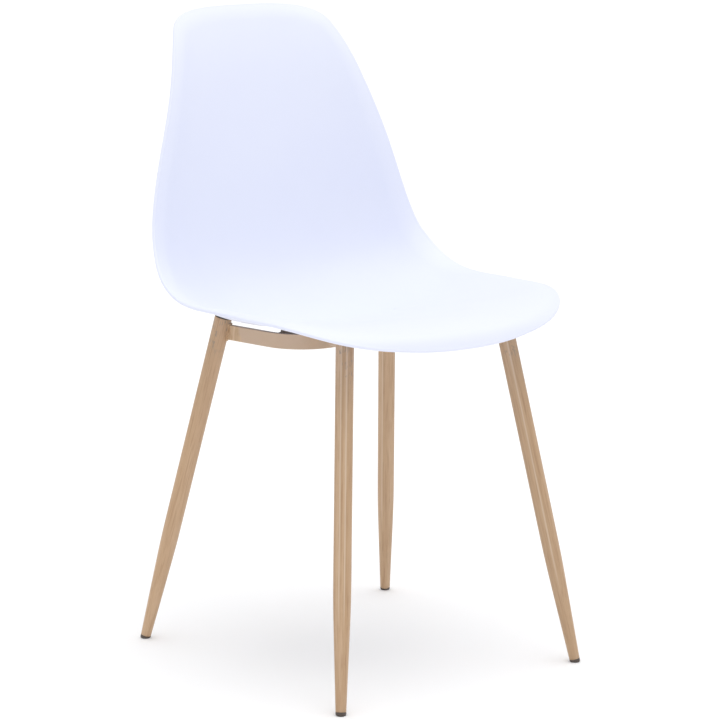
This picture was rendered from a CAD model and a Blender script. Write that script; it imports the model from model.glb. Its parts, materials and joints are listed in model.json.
import json
import math

import bmesh
import bpy
import numpy as np
from mathutils import Matrix, Vector


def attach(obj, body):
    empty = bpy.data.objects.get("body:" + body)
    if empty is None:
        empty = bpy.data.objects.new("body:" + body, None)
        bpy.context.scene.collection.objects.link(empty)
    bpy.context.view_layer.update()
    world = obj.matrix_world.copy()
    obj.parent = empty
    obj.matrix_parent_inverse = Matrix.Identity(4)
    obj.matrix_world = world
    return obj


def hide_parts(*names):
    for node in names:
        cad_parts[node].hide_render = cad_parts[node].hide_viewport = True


# Dining chair: a white moulded bucket shell on a welded steel frame with wood-look legs.
# Metres, in the frame of the CAD model: +Z up, the sitter faces -Y, the sitter's right is on -X.

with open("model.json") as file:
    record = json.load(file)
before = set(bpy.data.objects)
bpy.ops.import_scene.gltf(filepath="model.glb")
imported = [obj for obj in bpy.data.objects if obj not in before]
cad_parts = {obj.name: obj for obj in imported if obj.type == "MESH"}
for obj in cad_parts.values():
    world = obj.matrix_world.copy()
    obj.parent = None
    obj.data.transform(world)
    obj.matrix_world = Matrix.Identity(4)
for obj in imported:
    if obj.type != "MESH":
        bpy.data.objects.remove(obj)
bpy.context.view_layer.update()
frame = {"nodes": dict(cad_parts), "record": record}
BODY = "root"            # the chair has no moving parts


# ---- small mesh tools -------------------------------------------------------------------------
def new_piece(name, mesh, replaced):
    """An object of the chair that takes the place of a CAD node."""
    piece = bpy.data.objects.new(name, mesh)
    bpy.context.scene.collection.objects.link(piece)
    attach(piece, BODY)
    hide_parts(replaced)
    return piece


def smooth(mesh):
    for polygon in mesh.polygons:
        polygon.use_smooth = True


def lathe(bm, profile, place, segments):
    """Turns a profile of (height, radius) points round an axis, the Z axis of place."""
    rings = []
    for height, radius in profile:
        if radius == 0:
            rings.append([bm.verts.new(place @ Vector((0, 0, height)))])
            continue
        ring = []
        for k in range(segments):
            angle = 2 * math.pi * k / segments
            around = radius * math.cos(angle), radius * math.sin(angle)
            ring.append(bm.verts.new(place @ Vector((*around, height))))
        rings.append(ring)
    for low, high in zip(rings, rings[1:]):
        for k in range(segments):
            after = (k + 1) % segments
            corners = [low[k % len(low)], low[after % len(low)],
                       high[after % len(high)], high[k % len(high)]]
            distinct = list(dict.fromkeys(corners))
            if len(distinct) > 2:
                bm.faces.new(distinct)


# ---- seat shell -------------------------------------------------------------------------------
WALL = 0.0045
ROLL_DEPTH = 0.007
ROLL_WIDTH = 0.024
DISH_POWER = 2.5
FRONT_CAP, FRONT_CAP_POWER = 0.1485, 2.25
TOP_CAP, TOP_CAP_POWER = 0.0405, 3.3
HUB_ALONG = 0.5
# Down the middle from the front lip to the top of the back: y and z of the surface, half the
# width there, and how far the sides rise above the middle.
STATIONS = np.array([
    (-0.2460, 0.4290, 0.2205, -0.0220),
    (-0.2330, 0.4405, 0.2170, -0.0130),
    (-0.1940, 0.4515, 0.2160, 0.0065),
    (-0.1125, 0.4445, 0.2185, 0.0245),
    (-0.0230, 0.4305, 0.2185, 0.0375),
    (0.0565, 0.4150, 0.2165, 0.0570),
    (0.1265, 0.4285, 0.2110, 0.0685),
    (0.1695, 0.4645, 0.2055, 0.0700),
    (0.1920, 0.5205, 0.1980, 0.0640),
    (0.1995, 0.6000, 0.1800, 0.0550),
    (0.2050, 0.6800, 0.1530, 0.0460),
    (0.2130, 0.7450, 0.1305, 0.0305),
    (0.2325, 0.8050, 0.1050, 0.0100),
])
RIM_COUNT = 320          # vertices round the rim
RIM_SAMPLES = 4000       # fine steps used to space them
BEND_WEIGHT = 0.06       # extra vertices where the rim bends
INNER_RINGS = 60         # rings between the hub and the rolled rim
ROLL_RINGS = 12
EDGE_STEPS = 8           # steps round the half-round edge of the wall
BOSS_RADIUS = 0.0105
BOSS_EDGE = 0.0008       # rounding of a boss's lower edge
BOSS_BORE = 0.0042       # the hole for a thread insert
BOSS_SEGMENTS = 48


class Spline:
    """A natural cubic spline through the stations, along the shell's middle."""

    def __init__(self, values):
        steps = np.hypot(*np.diff(STATIONS[:, :2], axis=0).T)
        self.length = steps.sum()
        self.knots = np.concatenate(([0.0], np.cumsum(steps))) / self.length
        self.values = values
        gaps = np.diff(self.knots)
        count = len(values)
        matrix = np.eye(count)
        bends = np.zeros(count)
        for i in range(1, count - 1):
            matrix[i, i - 1:i + 2] = gaps[i - 1], 2 * (gaps[i - 1] + gaps[i]), gaps[i]
            slopes = np.diff(values[i - 1:i + 2]) / gaps[i - 1:i + 1]
            bends[i] = 6 * (slopes[1] - slopes[0])
        self.second = np.linalg.solve(matrix, bends)

    def at(self, along):
        span = np.clip(np.searchsorted(self.knots, along) - 1, 0, len(self.values) - 2)
        gap = self.knots[span + 1] - self.knots[span]
        after = (along - self.knots[span]) / gap
        before = 1 - after
        bend = (before ** 3 - before) * self.second[span] + (after ** 3 - after) * self.second[span + 1]
        return before * self.values[span] + after * self.values[span + 1] + bend * gap ** 2 / 6


LINE_Y, LINE_Z, HALF_WIDTH, RISE = (Spline(STATIONS[:, column]) for column in range(4))
LINE_LENGTH = LINE_Y.length


def dish(x, along):
    """Points of the sitter's side, for arrays of x and of the place along the middle (0 to 1)."""
    along = np.clip(along, 0.0, 1.0)
    step = 0.0005
    low, high = np.clip(along - step, 0, 1), np.clip(along + step, 0, 1)
    run_y, run_z = LINE_Y.at(high) - LINE_Y.at(low), LINE_Z.at(high) - LINE_Z.at(low)
    run = np.hypot(run_y, run_z)
    rise = RISE.at(along) * (np.abs(x) / HALF_WIDTH.at(along)) ** DISH_POWER
    y = LINE_Y.at(along) - rise * run_z / run
    z = LINE_Z.at(along) + rise * run_y / run
    return np.stack([x, y, z], -1)


def dish_normal(x, along):
    """Unit normals there, towards the sitter."""
    step_x, step_along = 0.0005, 0.0006
    across = dish(x + step_x, along) - dish(x - step_x, along)
    forward = dish(x, np.minimum(along + step_along, 1)) - dish(x, np.maximum(along - step_along, 0))
    normal = np.cross(across, forward)
    return normal / np.linalg.norm(normal, axis=-1, keepdims=True)


def rim_half_width(along):
    """Half the outline's width, rounded off at the front lip and at the top."""
    from_front = along * LINE_LENGTH
    from_top = LINE_LENGTH - from_front
    front = np.clip(1 - from_front / FRONT_CAP, 0, 1)
    top = np.clip(1 - from_top / TOP_CAP, 0, 1)
    rounded = (1 - front ** FRONT_CAP_POWER) ** (1 / FRONT_CAP_POWER)
    return HALF_WIDTH.at(along) * rounded * (1 - top ** TOP_CAP_POWER) ** (1 / TOP_CAP_POWER)


def rim_outline():
    """Points (x, along) round the whole rim, closer together where it bends."""
    along = (1 - np.cos(np.pi * np.arange(RIM_SAMPLES + 1) / RIM_SAMPLES)) / 2
    width = rim_half_width(along)
    run = np.stack([np.diff(width), np.diff(along) * LINE_LENGTH], -1)
    heading = np.unwrap(np.arctan2(run[:, 1], run[:, 0]))
    turn = np.abs(np.diff(heading, prepend=heading[:1]))
    measure = np.concatenate(([0.0], np.cumsum(np.hypot(*run.T) + BEND_WEIGHT * turn)))
    wanted = np.linspace(0, measure[-1], RIM_COUNT // 2 + 1)
    half_along = np.interp(wanted, measure, along)
    half_x = rim_half_width(half_along)
    x = np.concatenate((half_x, -half_x[-2:0:-1]))
    return x, np.concatenate((half_along, half_along[-2:0:-1]))


def shell_rings():
    """Rings of points from the hub over the sitter's side, round the edge and back underneath."""
    rim_x, rim_along = rim_outline()
    reach = np.hypot(rim_x, (rim_along - HUB_ALONG) * LINE_LENGTH)

    def at_inset(inset):
        share = 1 - inset / reach
        x = rim_x * share
        along = HUB_ALONG + (rim_along - HUB_ALONG) * share
        normal = dish_normal(x, along)
        roll = ROLL_DEPTH * np.clip(1 - inset / ROLL_WIDTH, 0, 1) ** 2
        return dish(x, along) - normal * roll[:, None], normal

    insets = [reach + (ROLL_WIDTH - reach) * k / INNER_RINGS for k in range(1, INNER_RINGS)]
    insets += [np.full(len(reach), ROLL_WIDTH + (WALL / 2 - ROLL_WIDTH) * k / ROLL_RINGS)
               for k in range(ROLL_RINGS)]
    sitter_side = [at_inset(inset) for inset in insets]
    rings = [point for point, _ in sitter_side]
    point, normal = at_inset(np.full(len(reach), WALL / 2))
    outward = point - at_inset(np.full(len(reach), WALL))[0]
    outward -= normal * np.sum(outward * normal, -1, keepdims=True)
    outward /= np.linalg.norm(outward, axis=-1, keepdims=True)
    for k in range(EDGE_STEPS + 1):
        angle = math.pi / 2 - math.pi * k / EDGE_STEPS
        rings.append(point + (outward * math.cos(angle) + normal * (math.sin(angle) - 1)) * WALL / 2)
    rings += [point - normal * WALL for point, normal in reversed(sitter_side)]
    middle = np.zeros(1), np.full(1, HUB_ALONG)
    hub = dish(*middle)
    return hub[0], rings, (hub - dish_normal(*middle) * WALL)[0]


def seat_height(x, y):
    """Height of the sitter's side over a place on the seat."""
    along = np.linspace(0.05, HUB_ALONG, RIM_SAMPLES // 2)
    line = dish(np.full(len(along), x), along)
    return float(np.interp(y, line[:, 1], line[:, 2]))


def build_shell():
    """The one-piece shell, with a boss underneath over each spacer."""
    hub_above, rings, hub_below = shell_rings()
    bm = bmesh.new()
    grid = [[bm.verts.new(point) for point in ring] for ring in rings]
    above, below = bm.verts.new(hub_above), bm.verts.new(hub_below)
    for k in range(RIM_COUNT):
        after = (k + 1) % RIM_COUNT
        bm.faces.new((above, grid[0][k], grid[0][after]))
        bm.faces.new((below, grid[-1][after], grid[-1][k]))
        for ring, outer in zip(grid, grid[1:]):
            bm.faces.new((ring[k], outer[k], outer[after], ring[after]))
    for low, high in spacer_boxes():
        x, y = (low[:2] + high[:2]) / 2
        height = seat_height(x, y) - WALL / 2 - high[2]
        profile = [(0.0, BOSS_BORE), (0.0, BOSS_RADIUS - BOSS_EDGE),
                   (0.0003, BOSS_RADIUS - 0.0003), (BOSS_EDGE + 0.0002, BOSS_RADIUS),
                   (height, BOSS_RADIUS), (height, BOSS_BORE), (0.0, BOSS_BORE)]
        lathe(bm, profile, Matrix.Translation((x, y, high[2])), BOSS_SEGMENTS)
    bmesh.ops.recalc_face_normals(bm, faces=bm.faces)
    mesh = bpy.data.meshes.new("bucket_shell")
    bm.to_mesh(mesh)
    smooth(mesh)
    return new_piece("bucket_shell", mesh, "seat_shell")


def spacer_boxes():
    """The box of each of the four rubber spacers, read from the frame."""
    vertices = [v.co for v in frame["nodes"]["mount_spacers"].data.vertices]
    boxes = []
    for rear in (False, True):
        for left in (False, True):
            middle = np.mean([v.y for v in vertices])
            own = np.array([v for v in vertices if (v.y > middle) == rear and (v.x > 0) == left])
            boxes.append((own.min(0), own.max(0)))
    return boxes


# ---- legs -------------------------------------------------------------------------------------
TUBE_RADIUS = 0.011
TUBE_WALL = 0.0012
FOOT_RADIUS = 0.0065
TAPER_LENGTH = 0.135
TAPER_OVERRUN = 0.03     # the drawn-round start of the taper ends this far above it
TAPER_STEPS = 28
TUBE_EDGE = 0.0004       # rounding of the tube's ends
TUBE_SEGMENTS = 64
FOOT_CAP_HEIGHT = 0.004
# Each pair of legs on the left side: the axis at the floor and at the top.
LEG_ENDS = {"front": ((0.1826, -0.2301, 0.0), (0.1197, -0.1536, 0.4440)),
            "rear": ((0.1941, 0.1813, 0.0), (0.1285, 0.0912, 0.4270))}


def leg_place(end, side):
    """The matrix of a leg's own frame, local Z up its axis, and the leg's length."""
    mirror = Vector((-1, 1, 1)) if side == "right" else Vector((1, 1, 1))
    foot, top = (Vector(point) * mirror for point in LEG_ENDS[end])
    turn = Vector((0, 0, 1)).rotation_difference(top - foot).to_matrix().to_4x4()
    return Matrix.Translation(foot) @ turn, (top - foot).length


def taper_radius(height):
    """Outer radius of the tube, with the start of the taper drawn round."""
    blend = 0.02
    share = (height - FOOT_CAP_HEIGHT) / (TAPER_LENGTH - FOOT_CAP_HEIGHT)
    straight = FOOT_RADIUS + (TUBE_RADIUS - FOOT_RADIUS) * share
    gap = TUBE_RADIUS - straight
    sharpness = blend * (TUBE_RADIUS - FOOT_RADIUS) / TAPER_LENGTH
    return TUBE_RADIUS - (gap + math.sqrt(gap ** 2 + sharpness ** 2)) / 2


def build_leg(end, side):
    """One tube. Its object sits on the leg's own frame, so object coordinates run along it."""
    place, length = leg_place(end, side)
    outer = [(FOOT_CAP_HEIGHT, FOOT_RADIUS - TUBE_EDGE), (FOOT_CAP_HEIGHT + TUBE_EDGE, FOOT_RADIUS)]
    for k in range(1, TAPER_STEPS + 1):
        height = FOOT_CAP_HEIGHT + (TAPER_LENGTH + TAPER_OVERRUN - FOOT_CAP_HEIGHT) * k / TAPER_STEPS
        outer.append((height, taper_radius(height)))
    outer += [(length - TUBE_EDGE, TUBE_RADIUS), (length, TUBE_RADIUS - TUBE_EDGE)]
    inner = [(length, TUBE_RADIUS - TUBE_WALL), (TAPER_LENGTH, TUBE_RADIUS - TUBE_WALL),
             (FOOT_CAP_HEIGHT, FOOT_RADIUS - TUBE_WALL), outer[0]]
    bm = bmesh.new()
    lathe(bm, outer + inner, Matrix.Identity(4), TUBE_SEGMENTS)
    bmesh.ops.remove_doubles(bm, verts=bm.verts, dist=1e-6)
    bmesh.ops.recalc_face_normals(bm, faces=bm.faces)
    mesh = bpy.data.meshes.new(f"{end}_{side}_tube")
    bm.to_mesh(mesh)
    smooth(mesh)
    piece = new_piece(f"{end}_{side}_tube", mesh, f"{end}_{side}_leg")
    piece.matrix_world = place
    return piece


# ---- materials --------------------------------------------------------------------------------
def srgb(red, green, blue):
    """A colour given in 0-255 display values, as the linear values that shaders use."""
    def linear(value):
        value /= 255
        return value / 12.92 if value <= 0.04045 else ((value + 0.055) / 1.055) ** 2.4
    return linear(red), linear(green), linear(blue), 1.0


class Shader:
    """A material with a Principled shader, and short calls to wire nodes into it."""

    def __init__(self, name, **constants):
        self.material = bpy.data.materials.new(name)
        self.material.use_nodes = True
        self.tree = self.material.node_tree
        self.principled = self.tree.nodes["Principled BSDF"]
        for socket, value in constants.items():
            self.principled.inputs[socket.replace("_", " ")].default_value = value
        self.material.diffuse_color = tuple(self.principled.inputs["Base Color"].default_value)

    def node(self, kind, inputs=None, **settings):
        node = self.tree.nodes.new(kind)
        for key, value in settings.items():
            setattr(node, key, value)
        for key, value in (inputs or {}).items():
            if isinstance(value, bpy.types.NodeSocket):
                self.tree.links.new(value, node.inputs[key])
            else:
                node.inputs[key].default_value = value
        return node

    def place(self, scale=(1, 1, 1), shift=(0, 0, 0)):
        """Object coordinates, stretched and shifted."""
        coordinates = self.node("ShaderNodeTexCoord").outputs["Object"]
        inputs = {"Vector": coordinates, "Scale": scale, "Location": shift}
        return self.node("ShaderNodeMapping", inputs).outputs[0]

    def xyz(self, vector):
        """The three parts of a vector."""
        return self.node("ShaderNodeSeparateXYZ", {"Vector": vector}).outputs

    def noise(self, place, scale, detail=3.0, roughness=0.5, distortion=0.0):
        inputs = {"Vector": place, "Scale": scale, "Detail": detail, "Roughness": roughness,
                  "Distortion": distortion}
        return self.node("ShaderNodeTexNoise", inputs).outputs["Fac"]

    def ramp(self, value, stops):
        """Maps a value to colours; stops are (position, colour)."""
        node = self.node("ShaderNodeValToRGB", {"Fac": value})
        elements = node.color_ramp.elements
        while len(elements) < len(stops):
            elements.new(0.5)
        for element, (position, colour) in zip(elements, stops):
            element.position = position
            element.color = colour
        return node.outputs["Color"]

    def spread(self, value, low, high, to_low, to_high):
        """Maps a range of a value to another range, clamped."""
        inputs = {"Value": value, "From Min": low, "From Max": high, "To Min": to_low, "To Max": to_high}
        return self.node("ShaderNodeMapRange", inputs).outputs["Result"]

    def math(self, operation, first, second=0.0):
        return self.node("ShaderNodeMath", {0: first, 1: second}, operation=operation).outputs[0]

    def mix(self, share, first, second, blend="MIX"):
        """Mixes two colours."""
        inputs = {0: share, 6: first, 7: second}
        return self.node("ShaderNodeMix", inputs, data_type="RGBA", blend_type=blend).outputs[2]

    def bump(self, height, strength, distance, under=None):
        inputs = {"Height": height, "Strength": strength, "Distance": distance}
        if under is not None:
            inputs["Normal"] = under
        return self.node("ShaderNodeBump", inputs).outputs["Normal"]

    def use(self, **sockets):
        """Wires outputs into the Principled shader and gives the finished material."""
        for socket, value in sockets.items():
            self.tree.links.new(value, self.principled.inputs[socket.replace("_", " ")])
        return self.material


def shell_material():
    """Satin moulded polypropylene, white with a touch of blue, with a fine mould grain."""
    s = Shader("shell_plastic", Base_Color=srgb(228, 232, 249), Roughness=0.5, IOR=1.49)
    place = s.place()
    cloud = s.noise(place, 9.0, 2.0)
    colour = s.ramp(cloud, [(0.35, srgb(228, 232, 249)), (0.65, srgb(229, 233, 249))])
    smudge = s.noise(place, 22.0, 4.0, 0.6)
    roughness = s.spread(smudge, 0.3, 0.7, 0.46, 0.56)
    grain = s.noise(place, 1500.0, 2.0, 0.6)
    ripple = s.noise(place, 60.0, 1.0)
    bump = s.bump(grain, 0.12, 0.0003, s.bump(ripple, 0.03, 0.002))
    return s.use(Base_Color=colour, Roughness=roughness, Normal=bump)


def leg_material(seed, contrast, brightness, streaks_at):
    """Printed beech-look film on a steel tube: soft grain, straight pale streaks, short grey dashes.

    streaks_at lists the pale streaks as (x, y) points on the tube's outside, in the leg's own frame.
    """
    s = Shader(f"leg_film_{seed}", Base_Color=srgb(190, 160, 130), Roughness=0.45, IOR=1.5)
    shift = (seed * 3.17, seed * 1.73, seed * 0.61)
    bands = s.noise(s.place((1, 1, 0.012), shift), 170.0, 2.0, 0.5, 0.2)
    lines = s.noise(s.place((1, 1, 0.03), shift), 700.0, 3.0, 0.6, 0.3)
    waves = s.noise(s.place((1, 1, 0.10), shift), 120.0, 3.0, 0.6)
    band_tint = s.ramp(bands, [(0.30, srgb(176, 143, 109)), (0.46, srgb(187, 156, 124)),
                               (0.56, srgb(193, 163, 132)), (0.70, srgb(199, 171, 142))])
    line_tint = s.ramp(lines, [(0.36, srgb(220, 209, 198)), (0.50, srgb(255, 255, 255)),
                               (0.68, srgb(250, 246, 240))])
    wave_tint = s.ramp(waves, [(0.35, srgb(236, 229, 221)), (0.60, srgb(255, 255, 255))])
    colour = s.mix(contrast, srgb(190, 160, 129), band_tint)
    colour = s.mix(0.55, colour, line_tint, "MULTIPLY")
    colour = s.mix(0.40, colour, wave_tint, "MULTIPLY")

    here = s.xyz(s.place())
    wander = s.math("MULTIPLY", s.noise(s.place((1, 1, 0.06), shift), 60.0, 1.0), 0.0006)
    for x, y in streaks_at:
        off = s.node("ShaderNodeCombineXYZ", {"X": s.math("SUBTRACT", here["X"], x),
                                              "Y": s.math("SUBTRACT", here["Y"], y)}).outputs[0]
        distance = s.node("ShaderNodeVectorMath", {0: off}, operation="LENGTH").outputs["Value"]
        streak = s.spread(s.math("ADD", distance, wander), 0.0006, 0.0018, 0.75, 0.0)
        colour = s.mix(streak, colour, srgb(206, 184, 160))

    strokes = s.spread(s.noise(s.place((1, 1, 0.10), shift), 900.0, 1.0), 0.54, 0.59, 0.0, 1.0)
    patches = s.spread(s.noise(s.place((1, 1, 1), shift), 110.0, 1.0), 0.50, 0.56, 0.0, 1.0)
    near_top = s.spread(here["Z"], 0.388, 0.408, 0.0, 0.8)
    dashes = s.math("MULTIPLY", s.math("MULTIPLY", strokes, patches), near_top)
    colour = s.mix(dashes, colour, srgb(139, 130, 117))
    colour = s.mix(1.0, colour, (brightness, brightness, brightness, 1.0), "MULTIPLY")
    roughness = s.spread(lines, 0.3, 0.7, 0.52, 0.40)
    return s.use(Base_Color=colour, Roughness=roughness, Normal=s.bump(lines, 0.10, 0.0002))


def bar_material():
    """Beige satin powder coat, dusty on top. The legs' film laps onto the bar's ends and joint."""
    s = Shader("bar_coat", Base_Color=srgb(190, 164, 144), Roughness=0.42, IOR=1.5)
    place = s.place()
    here = s.xyz(place)
    coat = s.ramp(s.noise(place, 30.0, 3.0), [(0.3, srgb(189, 163, 138)), (0.7, srgb(192, 167, 144))])
    streaks = s.noise(s.place((1, 1, 0.15)), 300.0, 3.0, 0.6, 0.3)
    wood = s.ramp(streaks, [(0.34, srgb(176, 146, 114)), (0.52, srgb(196, 166, 133)),
                            (0.70, srgb(202, 176, 147))])

    # The film ends on a slant near each pair of legs, and fades out beside the joint of the bows.
    slant = s.math("SUBTRACT", here["Y"], s.math("MULTIPLY", here["Z"], 0.3))
    edge = s.math("ADD", slant, s.math("MULTIPLY", s.noise(place, 160.0, 2.0), 0.008))
    rear_end = s.spread(edge, -0.0570, -0.0530, 0.0, 1.0)
    front_end = s.spread(edge, -0.2430, -0.2460, 0.0, 1.0)
    joint = s.spread(s.math("ABSOLUTE", here["X"]), 0.02, 0.07, 0.7, 0.0)
    film = s.math("ADD", s.math("ADD", rear_end, front_end), joint)
    colour = s.mix(film, coat, wood)

    facing = s.xyz(s.node("ShaderNodeNewGeometry").outputs["Normal"])
    dust = s.spread(facing["Z"], 0.55, 0.9, 0.0, 0.75)
    colour = s.mix(dust, colour, srgb(112, 101, 92))
    peel = s.bump(s.noise(place, 900.0, 2.0), 0.10, 0.0003)
    roughness = s.spread(s.noise(place, 140.0, 3.0), 0.3, 0.7, 0.36, 0.48)
    return s.use(Base_Color=colour, Roughness=roughness, Normal=peel)


def plain_material(name, colour, darker, roughness, scale, depth, metallic):
    """A moulded or plated finish: slight colour and gloss variation over a fine bump."""
    s = Shader(name, Base_Color=colour, Roughness=roughness, Metallic=metallic)
    place = s.place()
    shade = s.ramp(s.noise(place, scale * 0.1, 3.0), [(0.3, darker), (0.7, colour)])
    gloss = s.spread(s.noise(place, scale * 0.3, 3.0), 0.3, 0.7, roughness - 0.06, roughness + 0.06)
    bump = s.bump(s.noise(place, scale, 2.0), 0.15, depth)
    return s.use(Base_Color=shade, Roughness=gloss, Normal=bump)


def dress(materials_by_slot):
    """Gives every CAD node that still shows the finish of its slot."""
    slots = {entry["node"]: entry["material_slot"] for entry in frame["record"]["subparts"]}
    for name, node in frame["nodes"].items():
        material = materials_by_slot.get(slots[name])
        if material:
            node.data.materials.clear()
            node.data.materials.append(material)


# ---- stage ------------------------------------------------------------------------------------
FLOOR_RADIUS = 40.0
WORLD_STRENGTH = 0.80
KEY_PLACE, KEY_SIDE, KEY_WATTS = (-0.6, -1.3, 2.6), 1.6, 3
KEY_TARGET = (0, 0, 0.4)
OVERHEAD_STRENGTH = 1.15
OVERHEAD_ANGLE = math.radians(60)        # a wide source, so that shadows stay soft
OVERHEAD_LEAN = math.radians(4)          # off the vertical, towards the front and the left


def build_floor():
    bm = bmesh.new()
    bmesh.ops.create_circle(bm, cap_ends=True, radius=FLOOR_RADIUS, segments=96)
    mesh = bpy.data.meshes.new("studio_floor")
    bm.to_mesh(mesh)
    floor = bpy.data.objects.new("studio_floor", mesh)
    bpy.context.scene.collection.objects.link(floor)
    s = Shader("floor_paint", Base_Color=(0.98, 0.98, 0.98, 1), Roughness=0.9)
    cloud = s.noise(s.place(), 3.0)
    tone = s.ramp(cloud, [(0.3, (0.98, 0.98, 0.98, 1)), (0.7, (0.985, 0.985, 0.985, 1))])
    mesh.materials.append(s.use(Base_Color=tone))


def new_light(name, kind, power):
    data = bpy.data.lights.new(name, kind)
    data.energy = power
    light = bpy.data.objects.new(name, data)
    bpy.context.scene.collection.objects.link(light)
    return light


def build_studio():
    """A white room, a small softbox in front and a broad overhead light."""
    scene = bpy.context.scene
    scene.view_settings.view_transform = "Standard"
    world = bpy.data.worlds.new("studio")
    world.use_nodes = True
    background = world.node_tree.nodes["Background"]
    background.inputs["Color"].default_value = (1, 1, 1, 1)
    background.inputs["Strength"].default_value = WORLD_STRENGTH
    scene.world = world

    key = new_light("key_softbox", "AREA", KEY_WATTS)
    key.data.shape = "RECTANGLE"
    key.data.size = key.data.size_y = KEY_SIDE
    key.location = KEY_PLACE
    key.rotation_euler = (Vector(KEY_TARGET) - Vector(KEY_PLACE)).to_track_quat("-Z", "Y").to_euler()

    overhead = new_light("overhead", "SUN", OVERHEAD_STRENGTH)
    overhead.data.angle = OVERHEAD_ANGLE
    overhead.rotation_euler = (OVERHEAD_LEAN, OVERHEAD_LEAN, 0)


# ---- camera -----------------------------------------------------------------------------------
CAMERA_AZIMUTH = math.radians(-36.62)    # from straight in front, towards the sitter's right
CAMERA_ELEVATION = math.radians(11.26)
CAMERA_DISTANCE = 3.755
CAMERA_TARGET = Vector((0, -0.0225, 0.375))
LENS = 150.0             # mm
SENSOR_WIDTH = 36.0      # mm


def build_camera():
    level = math.cos(CAMERA_ELEVATION)
    back = Vector((math.sin(CAMERA_AZIMUTH) * level, -math.cos(CAMERA_AZIMUTH) * level,
                   math.sin(CAMERA_ELEVATION)))
    data = bpy.data.cameras.new("camera")
    data.lens = LENS
    data.sensor_width = SENSOR_WIDTH
    data.clip_end = 200
    camera = bpy.data.objects.new("camera", data)
    camera.location = CAMERA_TARGET + back * CAMERA_DISTANCE
    camera.rotation_euler = (-back).to_track_quat("-Z", "Y").to_euler()
    bpy.context.scene.collection.objects.link(camera)
    bpy.context.scene.camera = camera


# ---- the chair --------------------------------------------------------------------------------
# Each leg's film: seed, contrast of the bands, brightness, and where its pale streaks run.
FILMS = {("front", "right"): (1, 0.8, 1.03, [(-0.0093, -0.0058), (-0.0042, -0.0102)]),
         ("front", "left"): (2, 0.6, 0.98, [(-0.0070, -0.0085)]),
         ("rear", "right"): (3, 0.3, 1.10, []),
         ("rear", "left"): (4, 0.5, 1.05, [(-0.0100, -0.0045)])}
# Finishes of the small pieces by slot: colour, darker colour, roughness, scale of the bump and
# its depth in metres, and how metallic it is.
SMALL_FINISHES = {
    "foot_plastic": (srgb(88, 78, 71), srgb(74, 65, 59), 0.55, 900.0, 0.0003, 0.0),
    "plug_plastic": (srgb(50, 46, 43), srgb(38, 35, 33), 0.5, 900.0, 0.0003, 0.0),
    "spacer_rubber": (srgb(140, 128, 118), srgb(126, 115, 106), 0.75, 700.0, 0.0004, 0.0),
    "insert_brass": (srgb(212, 176, 106), srgb(190, 152, 84), 0.35, 600.0, 0.0002, 1.0),
    "zinc_steel": (srgb(196, 198, 202), srgb(170, 173, 178), 0.34, 500.0, 0.0002, 1.0),
    "bolt_steel": (srgb(58, 57, 58), srgb(44, 43, 44), 0.38, 500.0, 0.0002, 0.6),
}

build_shell().data.materials.append(shell_material())
for corner, film in FILMS.items():
    build_leg(*corner).data.materials.append(leg_material(*film))
finishes = {"bar_paint": bar_material()}
for slot, finish in SMALL_FINISHES.items():
    finishes[slot] = plain_material(slot, *finish)
dress(finishes)
build_floor()
build_studio()
build_camera()
